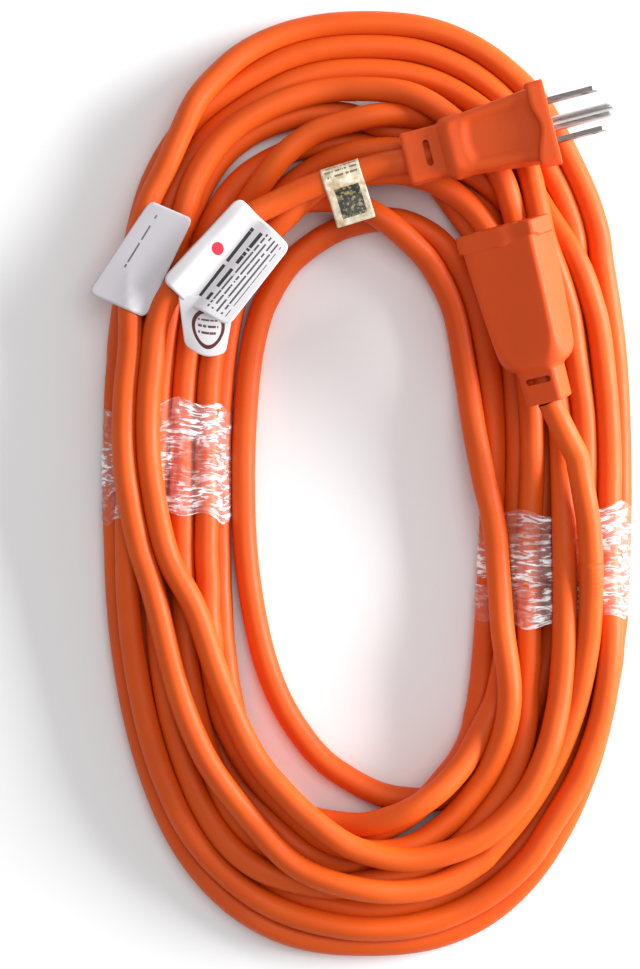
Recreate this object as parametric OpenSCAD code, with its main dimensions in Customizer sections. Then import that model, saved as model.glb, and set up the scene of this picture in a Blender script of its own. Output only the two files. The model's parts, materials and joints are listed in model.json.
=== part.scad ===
// Outdoor extension cord, wound into a long oval hank.
// The hank lies flat, its bottom at z = 0, with its long side along Y.
// The plug and the connector rest on top of it, each on a short free stretch of cord.

/* [Cord] */
// Outside diameter of the cord's jacket
cord_d = 7.8; // [6:0.1:9.4]
// Sides of the swept cord stretches
cord_sides = 12; // [8:2:12]

/* [Hank] */
// Width of the hank, along X
hank_w = 170; // [140:1:204]
// Length of the hank, along Y
hank_l = 304; // [250:1:365]
// Width of the wound ring at the left side
ring_left = 41; // [34:1:49]
// Width of the wound ring at the right side
ring_right = 49; // [40:1:58]
// Width of the wound ring at the far end
ring_far = 61; // [50:1:68]
// Width of the wound ring at the near end
ring_near = 46; // [38:1:55]
// How far the bundle's long edges are eased
bundle_ease = 1.6; // [1:0.1:2.5]

/* [Film wraps] */
// Thickness of the stretch film wraps
film_t = 0.4; // [0.3:0.05:0.6]
// Width of each film wrap, along Y
film_w = 36; // [20:1:44]
// Middle of the left wrap, along Y
film_left_y = 7; // [-20:1:20]
// Middle of the right wrap, along Y
film_right_y = -26; // [-40:1:0]

/* [Labels] */
// Thickness of the paper labels
label_t = 0.4; // [0.2:0.05:0.5]
// Length of the wrap of the small approval label, along the cord
approval_w = 12; // [8:1:15]

/* [Plug] */
// Length of the plug's moulding, from the cord's entry to the face
plug_l = 47.5; // [44:0.5:57]
// Width of the plug's face
plug_face_w = 26; // [24:0.5:31]
// Height of the plug's face
plug_face_h = 24; // [22:0.5:28]
// Depth of the plug's flange
plug_flange_l = 6.3; // [5:0.1:8]
// Width of the plug's strain relief
plug_relief_w = 16.3; // [13.6:0.1:17.5]
// Height of the plug's strain relief
plug_relief_h = 12; // [11:0.1:14.5]
// Length of the plug's strain relief
plug_relief_l = 15; // [13:0.5:18]

/* [Blades] */
// Distance between the two blades
blade_pitch = 12.7; // [12.7:0.1:13.2]
// Distance from the blades' line to the ground pin
ground_drop = 11.9; // [11.6:0.1:12.1]
// Thickness of a blade
blade_t = 1.52; // [1.4:0.02:1.83]
// Width of the line blade
line_blade_w = 6.35; // [6:0.05:6.6]
// Width of the neutral blade
neutral_blade_w = 7.9; // [7.6:0.05:8.1]
// How far the blades stand out of the face
blade_out = 15.9; // [15.5:0.1:18.2]
// How far the ground pin stands out of the face
ground_out = 19.5; // [19:0.1:23.4]
// Diameter of the ground pin
ground_pin_d = 4.8; // [4.7:0.02:4.9]
// Diameter of the ground pin's root, inside the plug
ground_root_d = 4; // [3.6:0.1:4.3]
// Width of a blade's root, inside the plug
blade_root_w = 4.6; // [3.8:0.1:5.6]

/* [Connector] */
// Length of the connector's moulding, from the cord's entry to the face
conn_l = 57; // [52:0.5:68]
// Width of the connector's face
conn_face_w = 26; // [24:0.5:31]
// Height of the connector's face
conn_face_h = 24.5; // [23:0.5:29]
// Depth of the connector's flange
conn_flange_l = 5.6; // [4.5:0.1:7]
// Width and height of the connector's strain relief
conn_relief_w = 12.4; // [11.5:0.1:14.8]
// Length of the connector's strain relief
conn_relief_l = 12; // [10:0.5:14]
// Thickness of the wall in front of the contacts
conn_wall = 2.5; // [2:0.1:3]
// Room round a blade in its slot, all round
slot_room = 0.35; // [0.2:0.05:0.45]
// Room round the ground pin in its contact
ground_room = 0.05; // [0.03:0.01:0.1]
// Extra room round the ground pin in the wall in front of its contact
ground_lead_room = 0.3; // [0.25:0.05:0.5]
// Thickness of the contacts' sheet metal
contact_t = 0.5; // [0.4:0.05:0.6]

/* [Wires] */
// Diameter of one insulated wire
wire_d = 2.3; // [1.9:0.1:2.6]
// Length of a crimp barrel
crimp_l = 6; // [5:0.5:7]
// Wall of a crimp barrel
crimp_wall = 0.6; // [0.4:0.1:0.7]

/* [Hidden] */
$fn = 48;

// The hank is two layers of turns, with a third layer of two turns on part of it.
layer_h = cord_d;
bundle_h = 2 * layer_h;
top_turns_h = layer_h;
hank_x = 2;
outline_steps = 72;
outer_square = 2.5;
inner_square = 3;
outer_a = hank_w / 2;
outer_b = hank_l / 2;
inner_a = (hank_w - ring_left - ring_right) / 2;
inner_b = (hank_l - ring_far - ring_near) / 2;
inner_x = hank_x + (ring_left - ring_right) / 2;
inner_y = (ring_near - ring_far) / 2;

// Routes of the cord's stretches that aren't wound. The third number is the height of the cord's
// underside over what it lies on: the ground for the inner loop, and the lower layers for the rest.
function laid(route, ground) = [for (p = route) [p[0], p[1], ground + cord_d / 2 + p[2]]];

inner_loop_route = laid([
    [18, 90, 0.1], [7, 88, 0.1], [-7, 85, 0.1], [-20, 77, 0.1], [-30, 62, 0.1], [-35, 46, 0.1],
    [-37, 28, 0.1], [-38, 10, 0.1], [-38, -8, 0.1], [-37, -26, 0.1], [-34, -45, 0.1], [-29, -64, 0.1],
    [-20, -81, 0.1], [-9, -94, 0.1], [4, -103, 0.1], [16, -109, 0.1]
], 0);
plug_lead_route = laid([
    [-66, 42, 0.5], [-66, 51, 0.5], [-59, 64, 0.5], [-49, 76, 0.5], [-37, 84, 0.5]
], bundle_h);
plug_tail_route = laid([
    [-37, 84, 0.5], [-27, 89, 0.5], [-16, 94, 1.5], [-6, 97, 2.5], [4, 100, 3.5], [14, 102, 4.5]
], bundle_h);
connector_tail_route = laid([
    [73, -24, 0.5], [73, -14, 0.5], [72, -4, 1.5], [69, 6, 3.5], [64, 16, 5.5], [59, 26, 7.5]
], bundle_h);

// The two top turns run from the connector's tail round to the plug's lead.
top_turns_w = 2 * cord_d;
top_a = hank_x - plug_lead_route[0][0];
top_b = outer_b - 26;
top_left_y = plug_lead_route[0][1];
top_right_y = connector_tail_route[0][1];

// The plug and the connector stand at the ends of their tails.
plug_pos = plug_tail_route[len(plug_tail_route) - 1];
plug_turn = [0, -6, 14];
conn_pos = connector_tail_route[len(connector_tail_route) - 1];
conn_turn = [0, -5, 105];
conn_roll = -22;

// Shared by the two mouldings.
// Where the white, black and green wires leave the jacket in the connector, round its middle.
// At the cord's other end, in the plug, they are the other way round.
wire_angles = [150, 30, 262];
// The side of the plug that each of them goes to.
wire_sides = [1, -1, 0];
wire_ring_r = 1.7;
wire_stub = 1.6;
bend_swell = 0.1;
relief_slot_w = 2;
relief_slot_l = 8.4;
relief_slot_x = 7.5;
crimp_d = wire_d + 2 * crimp_wall;
face_round = 8;

// Inside the plug.
plug_flange_x = plug_l - plug_flange_l;
plug_blade_z = 5.2;
plug_ground_z = plug_blade_z - ground_drop;
plug_carrier_l = 8;
carrier_rim = 1.2;
carrier_floor = 0.6;
plug_wall = 2;
plug_carrier_x = plug_l - plug_wall - plug_carrier_l;
blade_tail = 3;
plug_crimp_x = plug_carrier_x - blade_tail - crimp_l;
plug_jacket_l = plug_crimp_x - 8;
plug_shoulder_inset = 1.2;
thumb_depth = 1.4;
thumb_w = 13;
thumb_x = plug_relief_l + 10;

// Inside the connector.
conn_flange_x = conn_l - conn_flange_l;
conn_blade_z = 5.4;
conn_ground_z = conn_blade_z - ground_drop;
conn_carrier_l = 18.5;
conn_carrier_rim = 0.3;
conn_carrier_x = conn_l - conn_wall - conn_carrier_l;
conn_crimp_x = conn_carrier_x - crimp_l;
conn_jacket_l = conn_crimp_x - 12;
ground_hole_d = ground_pin_d + 2 * ground_room;
slot_t = blade_t + 2 * slot_room;
line_slot_w = line_blade_w + 2 * slot_room;
neutral_slot_w = neutral_blade_w + 2 * slot_room;

orange = [0.93, 0.32, 0.10];
metal = [0.75, 0.74, 0.70];
nylon = [0.90, 0.88, 0.80];

// ---- outlines and sweeps ----

function signed_pow(v, p) = sign(v) * pow(abs(v), p);

// An oval with squared-off shoulders, as a list of points.
function oval(a, b, square, x, y) = [
    for (i = [0:outline_steps - 1])
        let (t = 360 * i / outline_steps)
        [x + a * signed_pow(cos(t), 2 / square), y + b * signed_pow(sin(t), 2 / square)]
];

function unit(v) = v / norm(v);

// Direction of a route at point i, from its neighbours.
function along(route, i) =
    unit(route[min(i + 1, len(route) - 1)] - route[max(i - 1, 0)]);

// One ring of points round a route's point, square to the direction.
function ring(centre, direction, r) =
    let (side = unit(cross(direction, [0, 0, 1])), up = cross(side, direction))
    [for (k = [0:cord_sides - 1])
        let (t = 360 * (k + 0.5) / cord_sides)
        centre + r * (cos(t) * side + sin(t) * up)];

// A closed tube along a route, with given directions at its two ends.
module tube(route, first, last) {
    n = len(route);
    m = cord_sides;
    rings = [for (i = [0:n - 1])
        ring(route[i], i == 0 ? first : i == n - 1 ? last : along(route, i), cord_d / 2)];
    points = [for (r = rings) for (p = r) p];
    walls = [for (i = [0:n - 2]) for (k = [0:m - 1])
        let (a = i * m + k, b = i * m + (k + 1) % m)
        each [[a, a + m, b], [b, a + m, b + m]]];
    first_cap = [[for (k = [0:m - 1]) k]];
    last_cap = [[for (k = [m - 1:-1:0]) (n - 1) * m + k]];
    polyhedron(points, concat(walls, first_cap, last_cap));
}

// Where a direction points after a turn of [0, pitch, yaw].
function heading(turn) =
    [cos(turn[1]) * cos(turn[2]), cos(turn[1]) * sin(turn[2]), -sin(turn[1])];

// ---- shared shapes, in the mouldings' own frame, with the cord coming in along +X ----

module round_rect(w, h, r) {
    square([w - 2 * r, h], center = true);
    square([w, h - 2 * r], center = true);
    for (sx = [-1, 1], sy = [-1, 1])
        translate([sx * (w / 2 - r), sy * (h / 2 - r)]) circle(r);
}

// Extrudes a shape drawn across the moulding along +X.
module along_x(x, length) {
    translate([x, 0, 0]) rotate([90, 0, 90]) linear_extrude(length) children();
}

module rod_x(x, length, d, y = 0, z = 0) {
    translate([x, y, z]) rotate([0, 90, 0]) cylinder(d = d, h = length);
}

// A rounded body that changes size from one end to the other.
module loft(x1, size1, r1, x2, size2, r2) {
    skin = 0.02;
    hull() {
        along_x(x1, skin) round_rect(size1[0], size1[1], r1, $fn = 32);
        along_x(x2 - skin, skin) round_rect(size2[0], size2[1], r2, $fn = 32);
    }
}

// The windows that let a strain relief flex, one above the cord and one below.
module relief_slots(x, height) {
    for (side = [0, 1])
        mirror([0, 0, side])
            translate([x, 0, cord_d / 2 - 1])
                linear_extrude(height) {
                    square([relief_slot_w, relief_slot_l - relief_slot_w], center = true);
                    for (s = [-1, 1])
                        translate([0, s * (relief_slot_l - relief_slot_w) / 2]) circle(d = relief_slot_w);
                }
}

// A bent wire from the jacket's end to its crimp.
module wire(jacket_x, crimp_x, angle, y, z) {
    start = [jacket_x + wire_stub, wire_ring_r * cos(angle), wire_ring_r * sin(angle)];
    end = [crimp_x - wire_stub, y, z];
    run = end - start;
    rod_x(jacket_x, wire_stub, wire_d, start[1], start[2]);
    rod_x(crimp_x - wire_stub, wire_stub + crimp_l - 1, wire_d, y, z);
    for (p = [start, end])
        translate(p) sphere(d = wire_d + bend_swell);
    translate(start)
        rotate([0, acos(run[2] / norm(run)), atan2(run[1], run[0])])
            cylinder(d = wire_d, h = norm(run));
}

module crimp(x, y, z) {
    difference() {
        rod_x(x, crimp_l, crimp_d, y, z);
        rod_x(x - 1, crimp_l + 2, wire_d, y, z);
    }
}

// Places the pieces of the plug or the connector.
module at_plug() {
    translate(plug_pos) rotate([0, 0, plug_turn[2]]) rotate([0, plug_turn[1], 0]) children();
}

module at_connector() {
    translate(conn_pos) rotate([0, 0, conn_turn[2]]) rotate([0, conn_turn[1], 0])
        rotate([conn_roll, 0, 0]) children();
}

// ---- the hank ----

module bundle_slice(z1, z2, inset) {
    translate([0, 0, z1])
        linear_extrude(z2 - z1)
            difference() {
                polygon(oval(outer_a - inset, outer_b - inset, outer_square, hank_x, 0));
                polygon(oval(inner_a + inset, inner_b + inset, inner_square, inner_x, inner_y));
            }
}

// The outer shape of the two lower layers, shrunk all round by a skin.
module bundle_shape(skin) {
    bundle_slice(skin, bundle_h - skin, bundle_ease + skin);
    bundle_slice(bundle_ease, bundle_h - bundle_ease, skin);
}

module film_band(side, y) {
    reach = hank_w;
    translate([side < 0 ? inner_x - reach : inner_x, y - film_w / 2, -1])
        cube([reach, film_w, bundle_h + 2]);
}

module film_wrap(side, y) {
    color([0.92, 0.92, 0.94, 0.6])
        intersection() {
            film_band(side, y);
            difference() {
                bundle_shape(0);
                bundle_shape(film_t);
            }
        }
}

module film_wrap_left() {
    film_wrap(-1, film_left_y);
}

module film_wrap_right() {
    film_wrap(1, film_right_y);
}

module coil_bundle() {
    color(orange)
        union() {
            bundle_shape(film_t);
            difference() {
                bundle_shape(0);
                film_band(-1, film_left_y);
                film_band(1, film_right_y);
            }
        }
}

module coil_top_turns() {
    half = top_turns_w / 2;
    far = 2 * hank_l;
    color(orange)
        translate([0, 0, bundle_h])
            difference() {
                linear_extrude(top_turns_h)
                    difference() {
                        polygon(oval(top_a + half, top_b + half, outer_square, hank_x, 0));
                        polygon(oval(top_a - half, top_b - half, outer_square, hank_x, 0));
                    }
                translate([hank_x - far, top_left_y, -1]) cube([far, far, top_turns_h + 2]);
                translate([hank_x, top_right_y, -1]) cube([far, far, top_turns_h + 2]);
            }
}

module inner_loop() {
    n = len(inner_loop_route);
    color(orange)
        tube(inner_loop_route, along(inner_loop_route, 0), along(inner_loop_route, n - 1));
}

module plug_lead() {
    color(orange)
        tube(plug_lead_route, [0, 1, 0], along(plug_tail_route, 0));
}

module plug_tail() {
    color(orange)
        tube(plug_tail_route, along(plug_tail_route, 0), heading(plug_turn));
}

module connector_tail() {
    color(orange)
        tube(connector_tail_route, [0, 1, 0], heading(conn_turn));
}

// ---- the labels ----

module plate(z, outline) {
    translate([0, 0, z]) linear_extrude(label_t) polygon(outline);
}

// Two leaves stuck together, the upper one folded over the plug's lead.
module flag_label() {
    top = plug_lead_route[0][2] + cord_d / 2;
    color([0.95, 0.95, 0.95]) {
        plate(top + label_t, [[-39, 90], [-62, 63], [-55, 56], [-41, 50], [-22, 73], [-25, 79], [-32, 81]]);
        plate(top, [[-56, 60], [-61, 53], [-55, 42], [-45, 39], [-42, 52]]);
    }
}

// A flat tag that lies on the lower turns and stands out past the hank's left edge.
module tag_label() {
    color([0.93, 0.93, 0.92])
        translate([hank_x - outer_a, 0, 0])
            plate(bundle_h, [[15, 90], [28, 84], [15, 53], [-4, 61]]);
}

// A small label round the plug's tail, with its free end lying towards the middle.
module approval_label() {
    centre = plug_tail_route[3];
    back = plug_tail_route[2];
    ahead = plug_tail_route[4];
    run = ahead - back;
    leaf_l = 12;
    color([0.85, 0.78, 0.62])
        translate(centre)
            rotate([0, 0, atan2(run[1], run[0])])
                rotate([0, -asin(run[2] / norm(run)), 0]) {
                    difference() {
                        rod_x(-approval_w / 2, approval_w, cord_d + 2 * label_t);
                        rod_x(-approval_w / 2 - 1, approval_w + 2, cord_d);
                    }
                    translate([-approval_w / 2, -cord_d / 2 - leaf_l, -cord_d / 2 - label_t])
                        cube([approval_w, leaf_l + cord_d / 2, label_t]);
                }
}

// ---- the plug ----

module plug_wire(index) {
    wire(plug_jacket_l, plug_crimp_x, 180 - wire_angles[index],
         wire_sides[index] * blade_pitch / 2, wire_sides[index] == 0 ? plug_ground_z : plug_blade_z);
}

// The two blades' roots in cross-section.
module roots_section() {
    for (side = [-1, 1])
        translate([side * blade_pitch / 2, plug_blade_z])
            square([blade_t, blade_root_w], center = true);
}

module plug_carrier_section() {
    ground_w = ground_root_d + 2 * carrier_rim;
    floor_z = plug_ground_z - ground_root_d / 2 - carrier_floor;
    translate([0, plug_blade_z])
        square([blade_pitch + blade_t + 2 * carrier_rim, blade_root_w + 2 * carrier_rim], center = true);
    translate([-ground_w / 2, floor_z]) square([ground_w, plug_blade_z - floor_z]);
}

// The moulding's face: flat above the blades and round below the ground pin.
module face_section(w, h, round_r) {
    intersection() {
        round_rect(w, h, 2.5);
        union() {
            translate([0, h / 4]) square([w, h / 2], center = true);
            round_rect(w, h, round_r);
        }
    }
}

module plug_overmould() {
    relief = [plug_relief_w, plug_relief_h];
    neck = [plug_relief_w + 2, plug_relief_h + 3.6];
    shoulder = [plug_face_w - 3.6, plug_face_h - 2 * plug_shoulder_inset];
    color(orange)
        at_plug()
            difference() {
                union() {
                    loft(0, relief, 2, plug_relief_l, relief + [0.8, 1], 2);
                    loft(plug_relief_l - 5, neck - [2, 2], 3, plug_relief_l + 1, neck, 4);
                    loft(plug_relief_l, neck, 4, plug_flange_x + 1, shoulder, 4);
                    along_x(plug_flange_x, plug_flange_l) face_section(plug_face_w, plug_face_h, face_round);
                }
                rod_x(-1, plug_jacket_l + 1, cord_d);
                relief_slots(relief_slot_x, plug_relief_h);
                along_x(plug_carrier_x, plug_carrier_l) plug_carrier_section();
                along_x(plug_carrier_x - blade_tail, plug_l) roots_section();
                rod_x(plug_carrier_x - blade_tail, plug_l, ground_root_d, 0, plug_ground_z);
                for (i = [0:2]) plug_wire(i);
                rod_x(plug_crimp_x, crimp_l, crimp_d, -blade_pitch / 2, plug_blade_z);
                rod_x(plug_crimp_x, crimp_l, crimp_d, blade_pitch / 2, plug_blade_z);
                rod_x(plug_crimp_x, crimp_l, crimp_d, 0, plug_ground_z);
                translate([thumb_x, 0, plug_face_h / 2 - plug_shoulder_inset - thumb_depth])
                    linear_extrude(plug_face_h) {
                        circle(d = thumb_w);
                        translate([0, -thumb_w / 2]) square([plug_flange_x - thumb_x, thumb_w]);
                    }
            }
}

module blade_carrier() {
    color(nylon)
        at_plug()
            difference() {
                along_x(plug_carrier_x, plug_carrier_l) plug_carrier_section();
                along_x(plug_carrier_x - 1, plug_carrier_l + 2) roots_section();
                rod_x(plug_carrier_x - 1, plug_carrier_l + 2, ground_root_d, 0, plug_ground_z);
            }
}

// A blade with a nipped tip and its locking hole, on a narrower root.
module blade(y, w) {
    from = plug_carrier_x - blade_tail;
    root = blade_root_w / 2;
    tip = plug_l + blade_out;
    nip = 1.4;
    hole_x = plug_l + 11.7;
    hole_d = 3.2;
    color(metal)
        at_plug()
            translate([0, y + blade_t / 2, plug_blade_z])
                rotate([90, 0, 0])
                    linear_extrude(blade_t)
                        difference() {
                            polygon([
                                [from, -root], [plug_l, -root], [plug_l, -w / 2],
                                [tip - nip, -w / 2], [tip, -w / 2 + nip],
                                [tip, w / 2 - nip], [tip - nip, w / 2],
                                [plug_l, w / 2], [plug_l, root], [from, root]
                            ]);
                            translate([hole_x, 0]) circle(d = hole_d);
                        }
}

module line_blade() {
    blade(-blade_pitch / 2, line_blade_w);
}

module neutral_blade() {
    blade(blade_pitch / 2, neutral_blade_w);
}

// A folded pin on a narrower root, with its seam open along the top.
module ground_pin() {
    from = plug_carrier_x - blade_tail;
    straight = ground_out - ground_pin_d / 2;
    seam = 1.2;
    color(metal)
        at_plug() {
            rod_x(from, plug_l - from, ground_root_d, 0, plug_ground_z);
            difference() {
                union() {
                    rod_x(plug_l, straight, ground_pin_d, 0, plug_ground_z);
                    translate([plug_l + straight, 0, plug_ground_z]) sphere(d = ground_pin_d);
                }
                translate([plug_l, -seam / 2, plug_ground_z])
                    cube([ground_out, seam, ground_pin_d]);
            }
        }
}

module plug_crimps() {
    color("gold")
        at_plug() {
            crimp(plug_crimp_x, -blade_pitch / 2, plug_blade_z);
            crimp(plug_crimp_x, blade_pitch / 2, plug_blade_z);
            crimp(plug_crimp_x, 0, plug_ground_z);
        }
}

module plug_jacket_end() {
    color(orange) at_plug() rod_x(0, plug_jacket_l, cord_d);
}

module plug_black_wire() {
    color([0.08, 0.08, 0.08]) at_plug() plug_wire(1);
}

module plug_white_wire() {
    color("white") at_plug() plug_wire(0);
}

module plug_green_wire() {
    color("green") at_plug() plug_wire(2);
}

// ---- the connector ----

module conn_wire(index) {
    wire(conn_jacket_l, conn_crimp_x, wire_angles[index],
         -wire_sides[index] * blade_pitch / 2, wire_sides[index] == 0 ? conn_ground_z : conn_blade_z);
}

module conn_carrier_section() {
    top_w = blade_pitch + slot_t + 2 * contact_t + 2 * carrier_rim;
    top_h = neutral_slot_w + 2 * conn_carrier_rim;
    ground_d = ground_hole_d + 2 * contact_t;
    ground_w = ground_d + 2 * carrier_rim;
    floor_z = conn_ground_z - ground_d / 2 - conn_carrier_rim;
    translate([0, conn_blade_z]) square([top_w, top_h], center = true);
    translate([-ground_w / 2, floor_z]) square([ground_w, conn_blade_z - floor_z]);
}

module slot_section(y, w) {
    translate([y, conn_blade_z]) square([slot_t, w], center = true);
}

module slots_section() {
    slot_section(blade_pitch / 2, line_slot_w);
    slot_section(-blade_pitch / 2, neutral_slot_w);
}

// The pockets that hold the two blade contacts.
module pocket_section(y, w) {
    translate([y, conn_blade_z]) square([slot_t + 2 * contact_t, w], center = true);
}

module connector_overmould() {
    relief = [conn_relief_w, conn_relief_w];
    neck = [conn_relief_w + 4.6, conn_relief_w + 5.6];
    shoulder = [conn_face_w - 1.5, conn_face_h - 1.5];
    color(orange)
        at_connector()
            difference() {
                union() {
                    loft(0, relief, 2, conn_relief_l, relief + [0.6, 0.6], 2);
                    loft(conn_relief_l - 1.5, relief + [1, 1], 3, conn_relief_l + 2, neck, 4);
                    loft(conn_relief_l + 1.5, neck, 4, conn_flange_x + 1, shoulder, 4);
                    along_x(conn_flange_x, conn_flange_l) face_section(conn_face_w, conn_face_h, face_round);
                }
                rod_x(-1, conn_jacket_l + 1, cord_d);
                relief_slots(relief_slot_x, conn_relief_w);
                along_x(conn_carrier_x, conn_carrier_l) conn_carrier_section();
                along_x(conn_l - conn_wall - 1, conn_wall + 2) slots_section();
                rod_x(conn_l - conn_wall - 1, conn_wall + 2, ground_hole_d + 2 * ground_lead_room,
                      0, conn_ground_z);
                for (i = [0:2]) conn_wire(i);
                rod_x(conn_crimp_x, crimp_l, crimp_d, blade_pitch / 2, conn_blade_z);
                rod_x(conn_crimp_x, crimp_l, crimp_d, -blade_pitch / 2, conn_blade_z);
                rod_x(conn_crimp_x, crimp_l, crimp_d, 0, conn_ground_z);
            }
}

module contact_carrier() {
    color(nylon)
        at_connector()
            difference() {
                along_x(conn_carrier_x, conn_carrier_l) conn_carrier_section();
                along_x(conn_carrier_x - 1, conn_carrier_l + 2) {
                    pocket_section(blade_pitch / 2, line_slot_w);
                    pocket_section(-blade_pitch / 2, neutral_slot_w);
                }
                rod_x(conn_carrier_x - 1, conn_carrier_l + 2, ground_hole_d + 2 * contact_t,
                      0, conn_ground_z);
            }
}

// A folded contact: two leaves joined at the back.
module blade_contact(y, w) {
    color("gold")
        at_connector()
            difference() {
                along_x(conn_carrier_x, conn_carrier_l) pocket_section(y, w);
                along_x(conn_carrier_x + contact_t, conn_carrier_l) slot_section(y, w + 1);
            }
}

module line_contact() {
    blade_contact(blade_pitch / 2, line_slot_w);
}

module neutral_contact() {
    blade_contact(-blade_pitch / 2, neutral_slot_w);
}

module ground_contact() {
    color("gold")
        at_connector()
            difference() {
                rod_x(conn_carrier_x, conn_carrier_l, ground_hole_d + 2 * contact_t, 0, conn_ground_z);
                rod_x(conn_carrier_x + contact_t, conn_carrier_l, ground_hole_d, 0, conn_ground_z);
            }
}

module connector_crimps() {
    color("gold")
        at_connector() {
            crimp(conn_crimp_x, blade_pitch / 2, conn_blade_z);
            crimp(conn_crimp_x, -blade_pitch / 2, conn_blade_z);
            crimp(conn_crimp_x, 0, conn_ground_z);
        }
}

module connector_jacket_end() {
    color(orange) at_connector() rod_x(0, conn_jacket_l, cord_d);
}

module connector_black_wire() {
    color([0.08, 0.08, 0.08]) at_connector() conn_wire(1);
}

module connector_white_wire() {
    color("white") at_connector() conn_wire(0);
}

module connector_green_wire() {
    color("green") at_connector() conn_wire(2);
}

coil_bundle();
coil_top_turns();
inner_loop();
plug_lead();
plug_tail();
connector_tail();
film_wrap_left();
film_wrap_right();
flag_label();
tag_label();
approval_label();
plug_overmould();
blade_carrier();
line_blade();
neutral_blade();
ground_pin();
plug_crimps();
plug_jacket_end();
plug_black_wire();
plug_white_wire();
plug_green_wire();
connector_overmould();
contact_carrier();
line_contact();
neutral_contact();
ground_contact();
connector_crimps();
connector_jacket_end();
connector_black_wire();
connector_white_wire();
connector_green_wire();
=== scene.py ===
"""Looks of an outdoor extension cord, wound into a long oval hank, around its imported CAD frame."""
import json
import math
from contextlib import contextmanager

import bmesh
import bpy
import numpy as np
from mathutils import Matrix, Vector


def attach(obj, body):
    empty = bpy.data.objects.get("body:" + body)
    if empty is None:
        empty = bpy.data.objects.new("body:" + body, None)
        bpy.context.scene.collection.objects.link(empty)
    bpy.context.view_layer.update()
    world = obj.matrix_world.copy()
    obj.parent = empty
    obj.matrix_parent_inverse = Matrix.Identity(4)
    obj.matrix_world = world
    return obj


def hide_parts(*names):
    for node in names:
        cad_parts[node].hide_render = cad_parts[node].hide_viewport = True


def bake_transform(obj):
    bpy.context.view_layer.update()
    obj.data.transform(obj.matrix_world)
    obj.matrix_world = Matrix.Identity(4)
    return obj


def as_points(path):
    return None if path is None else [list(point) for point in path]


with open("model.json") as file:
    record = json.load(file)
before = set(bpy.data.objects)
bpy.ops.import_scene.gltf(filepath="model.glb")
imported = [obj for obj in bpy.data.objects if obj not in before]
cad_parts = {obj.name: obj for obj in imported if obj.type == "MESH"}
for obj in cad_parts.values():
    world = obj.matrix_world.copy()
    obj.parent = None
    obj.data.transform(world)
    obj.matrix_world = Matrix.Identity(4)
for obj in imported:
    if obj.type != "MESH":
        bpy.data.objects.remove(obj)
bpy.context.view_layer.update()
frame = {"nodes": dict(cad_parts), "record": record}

MM = 0.001

# ---- sizes, in millimetres like the routes ----

CORD_D = 7.8
CORD_R = CORD_D / 2
HANK_X = 2.0
HANK_W, HANK_L = 170.0, 304.0
RING_LEFT, RING_RIGHT, RING_FAR, RING_NEAR = 41.0, 49.0, 61.0, 46.0
OUTER_SQUARE, INNER_SQUARE = 2.5, 3.0
# Middle lines of the outermost and the innermost turn: half axes, and the inner one's centre.
OUTER_A, OUTER_B = HANK_W / 2 - CORD_R, HANK_L / 2 - CORD_R
INNER_A = (HANK_W - RING_LEFT - RING_RIGHT) / 2 + CORD_R
INNER_B = (HANK_L - RING_FAR - RING_NEAR) / 2 + CORD_R
INNER_X, INNER_Y = HANK_X + (RING_LEFT - RING_RIGHT) / 2, (RING_NEAR - RING_FAR) / 2
FILM_W = 36.0
FILM_LEFT_Y, FILM_RIGHT_Y = 7.0, -26.0
PLUG_L, PLUG_FACE_W, PLUG_FACE_H, PLUG_FLANGE_L = 47.5, 26.0, 24.0, 6.3
CONN_L, CONN_FACE_W, CONN_FACE_H, CONN_FLANGE_L = 57.0, 26.0, 24.5, 5.6
GROUND_DROP = 11.9
BLADE_PITCH = 12.7

# ---- the cord's routes, as in the CAD source ----

INNER_LOOP_ROUTE = [
    (18, 90, 4), (7, 88, 4), (-7, 85, 4), (-20, 77, 4), (-30, 62, 4), (-35, 46, 4),
    (-37, 28, 4), (-38, 10, 4), (-38, -8, 4), (-37, -26, 4), (-34, -45, 4), (-29, -64, 4),
    (-20, -81, 4), (-9, -94, 4), (4, -103, 4), (16, -109, 4),
]
PLUG_LEAD_ROUTE = [(-66, 42, 20), (-66, 51, 20), (-59, 64, 20), (-49, 76, 20), (-37, 84, 20)]
PLUG_TAIL_ROUTE = [(-37, 84, 20), (-27, 89, 20), (-16, 94, 21), (-6, 97, 22), (4, 100, 23), (14, 102, 24)]
CONNECTOR_TAIL_ROUTE = [(73, -24, 20), (73, -14, 20), (72, -4, 21), (69, 6, 23), (64, 16, 25), (59, 26, 27)]

# The two turns that lie loose on top, and the stretch that crosses the right film, seen from above.
CONNECTOR_TURN = [
    (74, -37), (72, -56), (70, -71), (65, -86), (58, -99), (47, -113), (36, -122), (19, -129),
    (2, -129), (-19, -123), (-35, -107), (-48, -90), (-60, -60), (-65, -39), (-69, -24), (-73, -9),
    (-74, 10), (-73, 29), (-72, 48),
]
PLUG_TURN = [
    (60, 45), (63, 27), (65, 8), (65, -18), (65, -37), (64, -60), (59, -87), (49, -104), (31, -117),
    (14, -120), (-2, -116), (-19, -104), (-32, -90), (-46, -60), (-53, -39), (-63, -21),
    (-65, -12), (-67, 1), (-68, 14), (-68, 27),
]
INNER_RIGHT = [
    (3, 95), (16, 88), (25, 76), (30, 57), (38, 33), (41, 8), (43, -12), (44, -30), (45, -43), (46, -56),
    (46, -66), (44, -81), (41, -97), (30, -111), (16, -121),
]

# Lanes of each wrapped turn as it passes the left side and then the right: 0 is outermost, 1 innermost.
LANES = [(0.0, 0.0), (0.0, 0.22), (0.28, 0.62), (1.0, 1.0), (0.55, 0.80), (1.0, 0.42), (0.78, 0.10),
         (0.14, 0.32), (0.66, 1.0), (0.90, 0.68), (0.30, 0.46)]
WRAPPED_TURNS = 9
LOOP_TURN = 3
RIGHT_TURN = 8
# The number of turns that start on the floor, and after which they start in the third layer.
FLOOR_TURNS = 5
THIRD_LAYER_TURNS = 10.2
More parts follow.
